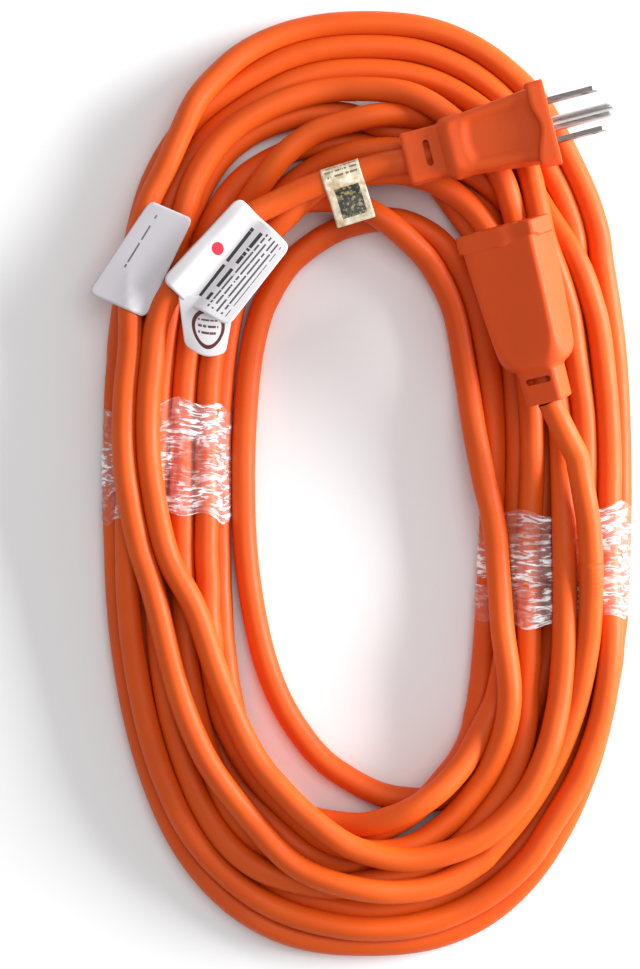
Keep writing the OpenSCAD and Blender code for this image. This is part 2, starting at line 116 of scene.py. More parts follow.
# The loose turns' place in the order of laying, and the height of their middles in diameters.
TOP_RANK = 12.0
TOP_LEVEL = 2.5


# ---- the camera, straight above the hank ----

def make_camera():
    x, y = -13.2 * MM, -0.3 * MM
    focus_z = 18 * MM
    height = 1.0
    view_h = 307.6 * MM
    sensor = 36.0
    data = bpy.data.cameras.new("camera")
    data.sensor_fit = "VERTICAL"
    data.sensor_height = sensor
    data.lens = sensor * (height - focus_z) / view_h
    camera = bpy.data.objects.new("camera", data)
    camera.location = (x, y, height)
    bpy.context.scene.collection.objects.link(camera)
    bpy.context.scene.camera = camera


# ---- winding: the turns' lanes, then a relaxation that lets them settle on each other ----

def signed_pow(v, p):
    return np.sign(v) * np.abs(v) ** p


def oval(t, a, b, square, x, y):
    """The point at the angle t of a squared oval round (x, y), with half axes a and b."""
    return np.array([x + a * signed_pow(np.cos(t), 2 / square), y + b * signed_pow(np.sin(t), 2 / square)])


def oval_reach(x, y, square):
    """How far out (x, y) is, where 1 is on the squared oval with half axes of 1."""
    return (np.abs(x) ** square + np.abs(y) ** square) ** (1 / square)


def lane_point(t, u):
    """The point of lane u, from 0 outermost to 1 innermost, at the angle t round the hank."""
    outer = oval(t, OUTER_A, OUTER_B, OUTER_SQUARE, HANK_X, 0)
    inner = oval(t, INNER_A, INNER_B, INNER_SQUARE, INNER_X, INNER_Y)
    return (1 - u) * outer + u * inner


def turn_angle(point):
    """How far round a point is, in degrees clockwise from the hank's right side."""
    a, b, square, y = 62.0, 124.0, 2.7, -4.0
    c, s = point[0] / a, (point[1] - y) / b
    return -math.degrees(math.atan2(signed_pow(s, square / 2), signed_pow(c, square / 2))) % 360


def lane_at(turns):
    """The lane after that many turns from the first pass of the left side."""
    passes = [lane for pair in LANES for lane in pair]
    i = int(math.floor(2 * turns))
    f = 2 * turns - i
    f = f * f * (3 - 2 * f)
    degrees = 360 * turns
    wander = 0.03 * math.sin(math.radians(1.3 * degrees)) + 0.02 * math.sin(math.radians(2.7 * degrees + 40))
    return passes[i] * (1 - f) + passes[i + 1] * f + wander * (0.4 if turns < FLOOR_TURNS else 1.0)


def control_points():
    """Rows of x, y, z, rank, hold and wrapped: rank says what lies on what, hold how firmly a point stays."""
    rows = []

    def add(point, z, rank, hold, wrapped=0.0):
        rows.append((point[0], point[1], z, rank, hold, wrapped))

    for p in CONNECTOR_TAIL_ROUTE[::-1]:
        add(p, p[2], TOP_RANK + 1, 1.0)
    first_holds = (0.95, 0.8, 0.6)
    for i, p in enumerate(CONNECTOR_TURN):
        to_end = len(CONNECTOR_TURN) - 1 - i
        level = TOP_LEVEL - 0.27 * max(0, 3 - to_end)
        if i < len(first_holds):
            hold = first_holds[i]
        else:
            hold = 0.5 if to_end > 2 else 0.3
        add(p, level * CORD_D, TOP_RANK, hold)

    # In degrees: between wound points, and clear of the stretches that have their own points.
    step = 15.0
    margin = 13.0
    blend_in = 18
    stop_before = 8
    loop = INNER_LOOP_ROUTE[::-1]
    loop_from, loop_to = (LOOP_TURN * 360 + turn_angle(p) for p in (loop[0], loop[-1]))
    right_from = RIGHT_TURN * 360 + turn_angle(INNER_RIGHT[0])
    right_to = (RIGHT_TURN + 1) * 360 + turn_angle(INNER_RIGHT[-1])
    end = (WRAPPED_TURNS + 1) * 360 + turn_angle(PLUG_TURN[0])
    angle = turn_angle(CONNECTOR_TURN[-1]) + blend_in
    while angle < end - stop_before:
        turns = (angle - 180) / 360
        skip_to = angle
        if loop_from - margin < angle < loop_to + margin:
            skip_to = loop_to + margin
            for i, p in enumerate(loop):
                add(p, p[2], LOOP_TURN - 0.5, 0.3 if 1 < i < len(loop) - 2 else 0.04)
        elif right_from - margin < angle < right_to + margin:
            skip_to = right_to + margin
            for i, p in enumerate(INNER_RIGHT):
                if i >= len(INNER_RIGHT) - 3:
                    level, rank, hold = 1.9, 9.5, 0.04
                else:
                    level, rank, hold = 2.35, 11.3, 0.25 if i else 0.12
                add(p, level * CORD_D, rank, hold)
        else:
            u, rank = lane_at(turns), turns
            layer = int(turns >= FLOOR_TURNS) + int(turns >= THIRD_LAYER_TURNS)
            if turns < 0.5:
                # The loose turn comes down from the top to the first lane.
                down = min(1, max(0, turns / 0.2))
                u = 0.02 * (1 - down) + u * down
                rank = TOP_RANK * (1 - down)
                layer = 2 * (1 - down)
            z = CORD_R + 0.88 * CORD_D * layer + 0.25 * (rank % 1)
            add(lane_point(-math.radians(angle), u), z, rank, 0.03, 1.0 if turns > 0.4 else 0.0)
        angle += step
        while angle < skip_to:
            angle += step

    for i, p in enumerate(PLUG_TURN):
        level, rank = (1.85, 11.0) if i < 2 else (TOP_LEVEL, 12.5)
        add(p, level * CORD_D, rank, 0.5)
    for p in PLUG_LEAD_ROUTE[:-1]:
        add(p, p[2], TOP_RANK + 1, 0.85)
    for p in PLUG_TAIL_ROUTE:
        add(p, p[2], TOP_RANK + 1, 1.0)
    return np.array(rows, float)


def smooth_curve(rows, steps=8):
    """A curve through the rows' first three columns, with the other columns carried along."""
    points = rows[:, :3]
    padded = np.vstack([2 * points[0] - points[1], points, 2 * points[-1] - points[-2]])
    gaps = np.maximum(np.linalg.norm(np.diff(padded, axis=0), axis=1), 1e-6)
    made = []
    for i in range(len(points) - 1):
        p0, p1, p2, p3 = padded[i:i + 4]
        d0, d1, d2 = gaps[i:i + 3]
        m1 = ((p2 - p1) / d1 * d0 + (p1 - p0) / d0 * d1) / (d0 + d1) * d1
        m2 = ((p3 - p2) / d2 * d1 + (p2 - p1) / d1 * d2) / (d1 + d2) * d1
        for f in np.arange(steps) / steps:
            at = ((2 * f ** 3 - 3 * f ** 2 + 1) * p1 + (f ** 3 - 2 * f ** 2 + f) * m1
                  + (3 * f ** 2 - 2 * f ** 3) * p2 + (f ** 3 - f ** 2) * m2)
            made.append(np.concatenate([at, rows[i, 3:] * (1 - f) + rows[i + 1, 3:] * f]))
    made.append(rows[-1])
    return np.array(made)


def distance_along(points):
    return np.concatenate([[0], np.cumsum(np.linalg.norm(np.diff(points, axis=0), axis=1))])


def evenly(rows, step):
    """The rows again, a step apart along the curve."""
    along = distance_along(rows[:, :3])
    at = np.linspace(0, along[-1], int(round(along[-1] / step)) + 1)
    return np.stack([np.interp(at, along, rows[:, c]) for c in range(rows.shape[1])], 1)


def oriented(mount_from, mount_to):
    """A moulding's directions as columns: +X out of its face, +Z from the ground pin to the blades."""
    mounts = {m["name"]: m for m in frame["record"]["mounts"]}
    x = np.array(mounts[mount_from]["axis"], float)
    x /= np.linalg.norm(x)
    z = np.array(mounts[mount_to]["pos_m"], float) - np.array(mounts[mount_from]["pos_m"], float)
    z -= x * (z @ x)
    z /= np.linalg.norm(z)
    return np.stack([x, np.cross(z, x), z], 1)


PLUG_TURNED = oriented("plug_ground_pin", "plug_blades")
CONN_TURNED = oriented("connector_ground_socket", "connector_blade_slots")
PLUG_AT = np.array(PLUG_TAIL_ROUTE[-1], float)
CONN_AT = np.array(CONNECTOR_TAIL_ROUTE[-1], float)


def keep_on_floor(p, free):
    p[:, 2] = np.where(free > 0, np.maximum(p[:, 2], CORD_R), p[:, 2])


def press_down(p, free):
    """Turns under the plug and the connector give way downwards."""
    most = 0.6
    past_ends = 2
    for origin, turned, length, r_small, r_large in (
            (PLUG_AT, PLUG_TURNED, PLUG_L, 8.0, 13.0), (CONN_AT, CONN_TURNED, CONN_L, 8.0, 14.0)):
        axis = turned[:, 0]
        reach = (p - origin) @ axis
        share = np.clip(reach / length, 0, 1)
        r = r_small + (r_large - r_small) * share + CORD_R
        off = np.linalg.norm(p - origin - (share * length)[:, None] * axis, axis=1)
        hit = (off < r) & (free > 0) & (reach > -past_ends) & (reach < length + past_ends)
        p[hit, 2] -= np.minimum(most, (r - off)[hit])


def keep_in_ring(p, free, wound):
    """Pulls points back inside the hank's outline, and wound ones out of its hole."""
    share = 0.5
    over = oval_reach((p[:, 0] - HANK_X) / OUTER_A, p[:, 1] / OUTER_B, OUTER_SQUARE)
    scale = np.where((over > 1) & (free > 0), 1 + (1 / over - 1) * share, 1.0)
    p[:, 0] = HANK_X + (p[:, 0] - HANK_X) * scale
    p[:, 1] *= scale
    inside = oval_reach((p[:, 0] - INNER_X) / INNER_A, (p[:, 1] - INNER_Y) / INNER_B, INNER_SQUARE)
    inside = np.maximum(inside, 0.5)
    scale = np.where((inside < 1) & wound, 1 + (1 / inside - 1) * share, 1.0)
    p[:, 0] = INNER_X + (p[:, 0] - INNER_X) * scale
    p[:, 1] = INNER_Y + (p[:, 1] - INNER_Y) * scale


def push_apart(p, free, first, second, above):
    """Moves each overlapping pair of points a diameter apart; the one laid later goes up."""
    apart = p[first] - p[second]
    over = CORD_D - np.linalg.norm(apart, axis=1)
    hit = over > 0
    a, b, over, apart = first[hit], second[hit], over[hit], apart[hit]
    apart[:, 2] += above[hit] * np.clip(over / CORD_D * 2.5, 0, 1) * CORD_D * 0.8
    push = 0.5 * over[:, None] * apart / np.maximum(np.linalg.norm(apart, axis=1), 1e-6)[:, None]
    moved, count = np.zeros_like(p), np.zeros(len(p))
    np.add.at(moved, a, push)
    np.add.at(moved, b, -push)
    np.add.at(count, a, 1)
    np.add.at(count, b, 1)
    p += moved * (1.6 / np.maximum(count, 1.6) * free)[:, None]


def ease_bends(p, free, step, passes, radius=30.0):
    """Lets out the bends that are tighter than the radius."""
    for _ in range(passes):
        bend = np.zeros_like(p)
        bend[1:-1] = p[:-2] - 2 * p[1:-1] + p[2:]
        tight = np.linalg.norm(bend, axis=1) > step ** 2 / radius
        near = np.convolve(tight, np.ones(9), "same") > 0
        p += 0.25 * bend * (near * free)[:, None]
        keep_on_floor(p, free)


def settle(rows, step):
    """Lets the turns drop on the floor and on each other, without one passing through another."""
    rounds = 210
    gravity = 0.28
    pairs_every = 8
    p, target = rows[:, :3].copy(), rows[:, :2].copy()
    rank, hold = rows[:, 3], rows[:, 4]
    free = np.clip((0.99 - hold) / 0.4, 0, 1)
    wound = hold < 0.05
    apart_along = int(round(2.2 * CORD_D / step))
    for i in range(rounds):
        if i % pairs_every == 0:
            q = p.astype(np.float32)
            near = ((q[:, None, :] - q[None, :, :]) ** 2).sum(-1) < (1.45 * CORD_D) ** 2
            first, second = np.nonzero(np.triu(near, apart_along))
            above = np.where(rank[first] >= rank[second], 1.0, -1.0)
        p[:, 2] -= gravity * (1.0 if i < rounds * 0.75 else 0.3) * free
        ease = max(0.3, 1 - i / rounds)
        pull = np.where(hold > 0.4, 0.35, np.where(hold > 0.05, 0.13, 0.065) * ease)
        p[:, :2] += (target - p[:, :2]) * (pull * free)[:, None]
        z = p[:, 2].copy()
        z[2:-2] = 0.25 * (z[:-4] + z[4:] + z[1:-3] + z[3:-1])
        p[:, 2] += (z - p[:, 2]) * 0.45 * free
        xy = p[:, :2].copy()
        xy[1:-1] = 0.5 * (p[:-2, :2] + p[2:, :2])
        p[:, :2] += (xy - p[:, :2]) * 0.2 * free[:, None]
        for _ in range(5):
            push_apart(p, free, first, second, above)
            keep_on_floor(p, free)
        keep_in_ring(p, free, wound)
        press_down(p, free)
        ease_bends(p, free, step, 2)
    for _ in range(25):
        push_apart(p, free * 0.4, first, second, above)
        ease_bends(p, free, step, 4)
    ease_bends(p, free, step, 12)
    # The bend is gentler where the connector's tail goes over into the hank.
    joint = np.zeros(len(p))
    joint[6:40] = 1.0
    ease_bends(p, joint, step, 60, radius=70.0)
    return np.hstack([p, rows[:, 3:]])


# ---- meshes ----

def add_mesh(name, vertices, faces, material, smooth=True):
    mesh = bpy.data.meshes.new(name)
    mesh.from_pydata([tuple(v) for v in vertices], [], [tuple(f) for f in faces])
    mesh.validate()
    made = bpy.data.objects.new(name, mesh)
    bpy.context.scene.collection.objects.link(made)
    mesh.materials.append(material)
    for polygon in mesh.polygons:
        polygon.use_smooth = smooth
    return made


def set_uv(piece, uvs):
    layer = piece.data.uv_layers.new(name="UVMap")
    for loop in piece.data.loops:
        layer.data[loop.index].uv = uvs[loop.vertex_index]


def tube_faces(rings, sides):
    """The faces between a tube's rings, whose points are stored ring after ring."""
    return [(i * sides + k, i * sides + (k + 1) % sides, (i + 1) * sides + (k + 1) % sides, (i + 1) * sides + k)
            for i in range(rings - 1) for k in range(sides)]


def cap_faces(rings, sides):
    """The two faces that close such a tube."""
    last = (rings - 1) * sides
    return [tuple(range(sides))[::-1], tuple(last + k for k in range(sides))]


CORD_SIDES = 24


def cord_rings(line):
    """Rings of points round a line in metres. They swell a little where the wires inside lie."""
    tangent = np.gradient(line, axis=0)
    tangent /= np.linalg.norm(tangent, axis=1)[:, None]
    side = np.cross(tangent[0], (0, 0, 1))
    along = distance_along(line)
    around = np.arange(CORD_SIDES) * 2 * math.pi / CORD_SIDES
    wires, lay_length, swell = 3, 0.055, 0.006
    rings = []
    for i in range(len(line)):
        side = side - tangent[i] * (side @ tangent[i])
        side /= np.linalg.norm(side)
        up = np.cross(tangent[i], side)
        lay = 1 + swell * np.cos(wires * around + 2 * math.pi * along[i] / lay_length)
        out = np.cos(around)[:, None] * side + np.sin(around)[:, None] * up
        rings.append(line[i] + CORD_R * MM * lay[:, None] * out)
    return rings


def cord_mesh(name, rings, material, caps):
    """A tube of the given rings. Its caps stay flat, so that they don't shade its ends."""
    faces = tube_faces(len(rings), CORD_SIDES)
    if caps:
        faces += cap_faces(len(rings), CORD_SIDES)
    made = add_mesh(name, np.concatenate(rings), faces, material)
    for polygon in made.data.polygons:
        polygon.use_smooth = len(polygon.vertices) == 4
    return made


def placed(points, origin, turned):
    """Points of a moulding's own frame, in millimetres, as points of the shared frame in metres."""
    return (origin + np.asarray(points, float) @ turned.T) * MM


# ---- materials ----

class Nodes:
    """Short calls for building one node material."""

    def __init__(self, name):
        self.material = bpy.data.materials.new(name)
        self.material.use_nodes = True
        self.tree = self.material.node_tree
        self.tree.nodes.clear()
        self.out = self.add("ShaderNodeOutputMaterial")

    def add(self, kind, **settings):
        made = self.tree.nodes.new(kind)
        for key, value in settings.items():
            setattr(made, key, value)
        return made

    def link(self, a, b):
        self.tree.links.new(a, b)

    def put(self, node, **values):
        for key, value in values.items():
            node.inputs[key.replace("_", " ")].default_value = value

    def shader(self, rough=0.5, **values):
        made = self.add("ShaderNodeBsdfPrincipled")
        self.put(made, Roughness=rough, **values)
        self.link(made.outputs[0], self.out.inputs["Surface"])
        return made

    def noise(self, scale, detail=4.0, rough=0.5, stretch=None, distortion=0.0, uv=False):
        where = self.add("ShaderNodeTexCoord").outputs["UV" if uv else "Object"]
        if stretch is not None:
            mapping = self.add("ShaderNodeMapping")
            self.put(mapping, Scale=stretch)
            self.link(where, mapping.inputs["Vector"])
            where = mapping.outputs[0]
        made = self.add("ShaderNodeTexNoise")
        self.put(made, Scale=scale, Detail=detail, Roughness=rough, Distortion=distortion)
        self.link(where, made.inputs["Vector"])
        return made.outputs[0]

    def ramp(self, value, stops):
        made = self.add("ShaderNodeValToRGB")
        elements = made.color_ramp.elements
        while len(elements) < len(stops):
            elements.new(0.5)
        for element, (at, color) in zip(elements, stops):
            element.position = at
            element.color = (*color, 1)
        self.link(value, made.inputs[0])
        return made.outputs[0]

    def feed(self, socket, value):
        """Gives a socket a number, a colour or another node's output."""
        if isinstance(value, float):
            socket.default_value = value
        elif isinstance(value, tuple):
            socket.default_value = (*value, 1)
        else:
            self.link(value, socket)

    def math(self, operation, *values):
        made = self.add("ShaderNodeMath", operation=operation)
        for socket, value in zip(made.inputs, values):
            self.feed(socket, value)
        return made.outputs[0]

    def mix(self, factor, a, b, blend="MIX"):
        made = self.add("ShaderNodeMix", data_type="RGBA", blend_type=blend)
        for socket, value in ((made.inputs["Factor"], factor), (made.inputs[6], a), (made.inputs[7], b)):
            self.feed(socket, value)
        return made.outputs[2]

    def bump(self, shader, height, strength, distance):
        made = self.add("ShaderNodeBump")
        self.put(made, Strength=strength, Distance=distance)
        self.link(height, made.inputs["Height"])
        self.link(made.outputs[0], shader.inputs["Normal"])

    def tone(self, shader, pattern, dark, light, start=0.3, socket="Base Color"):
        """Lets a pattern run a socket of the shader from dark to light."""
        self.link(self.ramp(pattern, [(start, dark), (0.7, light)]), shader.inputs[socket])


def grey(v):
    return (v, v, v)


def vinyl(name, dark, light, rough, grain, gloss):
    """Soft orange vinyl: slow changes of tone, a faint skin grain and dulled patches."""
    n = Nodes(name)
    shader = n.shader(rough, Specular_IOR_Level=gloss, Subsurface_Weight=0.06, Subsurface_Scale=0.004)
    n.put(shader, Subsurface_Radius=(1.0, 0.35, 0.12))
    n.tone(shader, n.noise(28, 3), dark, light)
    n.tone(shader, n.noise(90, 5, 0.6), grey(rough - 0.06), grey(rough + 0.1), 0.35, "Roughness")
    n.bump(shader, n.noise(grain, 3, 0.55), 0.16, 0.00012)
    return n.material


def metal(name, dark, light, rough, stretch):
    """Plated or plain sheet metal with drawn lines along it."""
    n = Nodes(name)
    shader = n.shader(rough, Metallic=1.0)
    drawn = n.noise(160, 4, 0.6, stretch)
    n.tone(shader, drawn, dark, light)
    n.tone(shader, drawn, grey(rough - 0.06), grey(rough + 0.1), socket="Roughness")
    n.bump(shader, drawn, 0.12, 0.00005)
    return n.material


def plastic(name, dark, light, rough):
    """A hard or thin inner plastic with a fine moulded skin."""
    n = Nodes(name)
    shader = n.shader(rough)
    n.tone(shader, n.noise(220, 3), dark, light)
    n.bump(shader, n.noise(2200, 2), 0.1, 0.00005)
    return n.material


def film_material():
    """Clear stretch film: nearly unseen where it lies flat, with painted white highlights along its creases."""
    n = Nodes("stretch_film")
    gloss = n.shader(0.16, Base_Color=(0.97, 0.97, 0.98, 1), Specular_IOR_Level=0.6)
    clear = n.add("ShaderNodeBsdfTransparent")
    clear.inputs[0].default_value = (0.98, 0.98, 0.98, 1)
    streaks = n.noise(1.0, 3, 0.6, (7.0, 30.0, 1.0), 0.7, uv=True)
    clouds = n.noise(1.0, 3, 0.5, (3.6, 3.0, 1.0), 0.5, uv=True)
    patches = n.ramp(clouds, [(0.40, grey(0.0)), (0.62, grey(1.0))])
    # Painted highlights: white laid along the crease noise, where the crinkles would catch the light.
    lines = n.ramp(streaks, [(0.49, grey(0.0)), (0.57, grey(1.0))])
    painted_highlight_strength = n.math("ADD", n.math("MULTIPLY", patches, 0.75), 0.08)
    everywhere = n.math("ADD", n.math("MULTIPLY", patches, 0.10), 0.05)
    # How much white goes over the clear film: a faint even white, plus the painted crease highlights.
    even_white_and_painted_highlights = n.math("ADD", n.math("MULTIPLY", lines, painted_highlight_strength), everywhere)
    mix = n.add("ShaderNodeMixShader")
    for socket, value in zip(mix.inputs, (even_white_and_painted_highlights, clear.outputs[0], gloss.outputs[0])):
        n.link(value, socket)
    n.link(mix.outputs[0], n.out.inputs["Surface"])
    n.bump(gloss, streaks, 0.6, 0.0006)
    return n.material


def label_nodes(name):
    n = Nodes(name)
    split = n.add("ShaderNodeSeparateXYZ")
    n.link(n.add("ShaderNodeTexCoord").outputs["UV"], split.inputs[0])
    return n, split.outputs[0], split.outputs[1]


def between(n, value, low, high):
    """1 where low < value < high."""
    return n.math("MULTIPLY", n.math("GREATER_THAN", value, low), n.math("LESS_THAN", value, high))


def greeked(n, u, v, rows, high, wide, seed):
    """Rows of plain bars for print, with no letters, where v is in high and u is in wide."""
    along_scale, row_shift, word_scale, gap_below = 26.0, 7.3, 0.55, 0.43
    row = n.math("MULTIPLY", v, rows)
    inside = n.math("MULTIPLY", between(n, v, *high), between(n, u, *wide))
    bar = between(n, n.math("FRACT", row), 0.3, 0.68)
    where = n.add("ShaderNodeCombineXYZ")
    n.link(n.math("MULTIPLY", u, along_scale), where.inputs[0])
    n.link(n.math("MULTIPLY", n.math("FLOOR", row), row_shift), where.inputs[1])
    where.inputs[2].default_value = seed
    words = n.add("ShaderNodeTexNoise")
    n.put(words, Scale=word_scale)
    n.link(where.outputs[0], words.inputs["Vector"])
    word = n.math("GREATER_THAN", words.outputs[0], gap_below)
    return n.math("MULTIPLY", n.math("MULTIPLY", inside, bar), word)


def disc(n, u, v, cu, cv, aspect, r):
    """1 inside a round spot of a label; aspect is the label's length over its width."""
    du = n.math("MULTIPLY", n.math("SUBTRACT", u, cu), aspect)
    dv = n.math("SUBTRACT", v, cv)
    far = n.math("SQRT", n.math("ADD", n.math("MULTIPLY", du, du), n.math("MULTIPLY", dv, dv)))
    return n.math("LESS_THAN", far, r)


def paper_shader(n, color):
    """Film-faced paper: the printed colour, a little uneven, with a faint grain."""
    shader = n.shader(0.38, Specular_IOR_Level=0.35)
    tone = n.mix(n.noise(40, 4), grey(0.93), grey(1.0))
    n.link(n.mix(1.0, color, tone, "MULTIPLY"), shader.inputs["Base Color"])
    n.bump(shader, n.noise(300, 3), 0.1, 0.0001)


def flag_material():
    n, u, v = label_nodes("label_flag")
    fine_rows = greeked(n, u, v, 15.0, high=(0.10, 0.40), wide=(0.07, 0.93), seed=0.0)
    headings = greeked(n, u, v, 8.0, high=(0.40, 0.64), wide=(0.12, 0.90), seed=4.0)
    spot = disc(n, u, v, cu=0.54, cv=0.755, aspect=1.4, r=0.078)
    color = n.mix(fine_rows, (0.74, 0.71, 0.73), (0.09, 0.08, 0.09))
    color = n.mix(headings, color, (0.05, 0.045, 0.05))
    paper_shader(n, n.mix(spot, color, (0.62, 0.03, 0.05)))
    return n.material


def flag_back_material():
    n, u, v = label_nodes("label_flag_back")
    outside, inside = (disc(n, u, v, cu=0.55, cv=0.46, aspect=1.0, r=r) for r in (0.34, 0.27))
    rows = greeked(n, u, v, 9.0, high=(0.30, 0.62), wide=(0.34, 0.76), seed=2.0)
    color = n.mix(n.math("SUBTRACT", outside, inside), (0.70, 0.68, 0.70), (0.10, 0.022, 0.018))
    paper_shader(n, n.mix(rows, color, (0.12, 0.05, 0.045)))
    return n.material


def tag_material():
    n, u, v = label_nodes("label_tag")
    row = greeked(n, u, v, 12.0, high=(0.67, 0.75), wide=(0.3, 0.9), seed=6.0)
    paper_shader(n, n.mix(row, (0.62, 0.59, 0.63), (0.14, 0.13, 0.15)))
    return n.material


def approval_material():
    """A foil label: a pale gold half with fine rules, and a dark speckled half."""
    n, u, v = label_nodes("label_approval")
    shader = n.shader(0.3, Specular_IOR_Level=0.6)
    gold = n.ramp(n.noise(380, 5, 0.6), [(0.35, (0.50, 0.38, 0.20)), (0.62, (0.86, 0.80, 0.64))])
    rules = greeked(n, u, v, 15.0, high=(0.58, 0.97), wide=(0.08, 0.92), seed=1.0)
    gold = n.mix(rules, gold, (0.20, 0.13, 0.07))
    dark = n.ramp(n.noise(900, 4, 0.7), [(0.5, (0.022, 0.030, 0.026)), (0.62, (0.42, 0.33, 0.14))])
    square = n.math("MULTIPLY", between(n, u, 0.2, 0.84), between(n, v, 0.08, 0.46))
    n.link(n.mix(square, gold, dark), shader.inputs["Base Color"])
    n.bump(shader, n.noise(900, 3), 0.12, 0.00008)
    return n.material


# ---- the mouldings ----

SIDE_STEPS = 14
ARC_STEPS = 8
SHARP_DEGREES = 32


def rounded_ring(w, h, r):
    """Points round a rounded rectangle, from the top of its right side on, as (y, z) pairs."""
    corners = [(1, 1), (-1, 1), (-1, -1), (1, -1)]
    points = []
    for i, (sy, sz) in enumerate(corners):
        angles = math.pi / 2 * i + math.pi / 2 * np.arange(ARC_STEPS + 1) / ARC_STEPS
        points += arc(sy * (w / 2 - r), sz * (h / 2 - r), r, angles)
        first = points[-1]
        ny, nz = corners[(i + 1) % 4]
        end = arc(ny * (w / 2 - r), nz * (h / 2 - r), r, angles[-1:])[0]
        for k in range(1, SIDE_STEPS):
            f = k / SIDE_STEPS
            points.append((first[0] * (1 - f) + end[0] * f, first[1] * (1 - f) + end[1] * f))
    return np.array(points)


def moulded(name, keys, shape_point, origin, turned, material, cutters):
    """Lofts rounded rings along a moulding, lets shape_point dent them, and cuts holes with cutters."""
    rings = []
    for x, w, h, r in stretch_stations(keys):
        rings.append([shape_point(x, y, z, w, h) for y, z in rounded_ring(w, h, r)])
    m = len(rings[0])
    vertices = [p for ring in rings for p in ring]
    faces = [f[::-1] for f in tube_faces(len(rings), m) + cap_faces(len(rings), m)]
    body = add_mesh(name, placed(vertices, origin, turned), faces, material)
    fix_normals(body)
    for points, cutter_faces in cutters:
        cutter = add_mesh("cutter", placed(points, origin, turned), cutter_faces, material, smooth=False)
        fix_normals(cutter)
        cut = body.modifiers.new("cut", "BOOLEAN")
        cut.operation = "DIFFERENCE"
        cut.solver = "EXACT"
        cut.object = cutter
        apply_modifiers(body)
        bpy.data.objects.remove(cutter)
    mark_sharp(body)
    return body


@contextmanager
def editing(piece):
    bm = bmesh.new()
    bm.from_mesh(piece.data)
    yield bm
    bm.to_mesh(piece.data)
    bm.free()


def fix_normals(piece):
    with editing(piece) as bm:
        bmesh.ops.recalc_face_normals(bm, faces=bm.faces)


def apply_modifiers(piece):
    shown = piece.evaluated_get(bpy.context.evaluated_depsgraph_get())
    made = bpy.data.meshes.new_from_object(shown)
    piece.modifiers.clear()
    piece.data = made


def mark_sharp(piece):
    with editing(piece) as bm:
        for f in bm.faces:
            f.smooth = True
        for e in bm.edges:
            if len(e.link_faces) == 2:
                e.smooth = e.calc_face_angle() < math.radians(SHARP_DEGREES)


def prism(outline, low, high, axis):
    """A closed prism of 2D points: axis 0 lays it along X over (y, z), axis 2 stands it along Z over (x, y)."""
    n = len(outline)
    if axis == 0:
        points = [(low, a, b) for a, b in outline] + [(high, a, b) for a, b in outline]
    else:
        points = [(a, b, low) for a, b in outline] + [(a, b, high) for a, b in outline]
    faces = [tuple(range(n))[::-1], tuple(range(n, 2 * n))]
    faces += [(k, (k + 1) % n, n + (k + 1) % n, n + k) for k in range(n)]
    return points, faces


def arc(cx, cy, r, angles):
    return [(cx + r * math.cos(a), cy + r * math.sin(a)) for a in angles]


def slot_outline(cx, cy, w, h):
    """A slot with round ends, long in its second direction."""
    r = w / 2
    half = h / 2 - r
    steps = 10
    top = arc(cx, cy + half, r, np.linspace(0, math.pi, steps))
    low = arc(cx, cy - half, r, np.linspace(math.pi, 2 * math.pi, steps))
    return top + low


def box_outline(cy, cz, w, h):
    return [(cy + y * w / 2, cz + z * h / 2) for y, z in ((-1, -1), (1, -1), (1, 1), (-1, 1))]


def circle_outline(cy, cz, r):
    return arc(cy, cz, r, np.linspace(0, 2 * math.pi, 40, endpoint=False))


def smoothstep(low, high, v):
    t = min(1.0, max(0.0, (v - low) / (high - low)))
    return t * t * (3 - 2 * t)


def stretch_stations(keys):
    """Fills between key stations so that no two are more than a gap apart."""
    gap = 1.0
    made = []
    for a, b in zip(keys, keys[1:]):
        n = max(1, int(math.ceil((b[0] - a[0]) / gap)))
        made += [tuple(a[c] + (b[c] - a[c]) * k / n for c in range(4)) for k in range(n)]
    return made + [keys[-1]]


def relief_windows():
    """The two windows of a strain relief, above and below the cord."""
    along, w, length = 7.5, 2.0, 8.4
    deep, out = 3.0, 12.0
    outline = slot_outline(along, 0, w, length)
    return [prism(outline, deep, out, 2), prism(outline, -out, -deep, 2)]


def face_keys(flange_x, length, w, h):
    """Stations from a flange's rear edge to the face: x, width, height and corner radius."""
    return [
        (flange_x + 0.5, w - 0.2, h - 0.2, 1.8), (flange_x + 1.0, w, h, 1.8), (length - 0.5, w, h, 1.8),
        (length - 0.15, w - 0.3, h - 0.3, 1.7), (length, w - 0.9, h - 0.9, 1.5),
    ]


def near_flange(x, flange_x, length):
    """1 along a flange's rear edge, 0 some way behind it and at the face."""
    return smoothstep(flange_x - 5, flange_x - 0.4, x) * (1 - smoothstep(flange_x + 1, length - 0.3, x))


def low_on_flange(x, z, h, flange_x):
    """1 at the lower edge of a flange, where its sides pull in."""
    low = smoothstep(0.0, 1.0, (-z - h * 0.18) / (h * 0.32))
    return low * smoothstep(flange_x - 1, flange_x + 0.6, x)


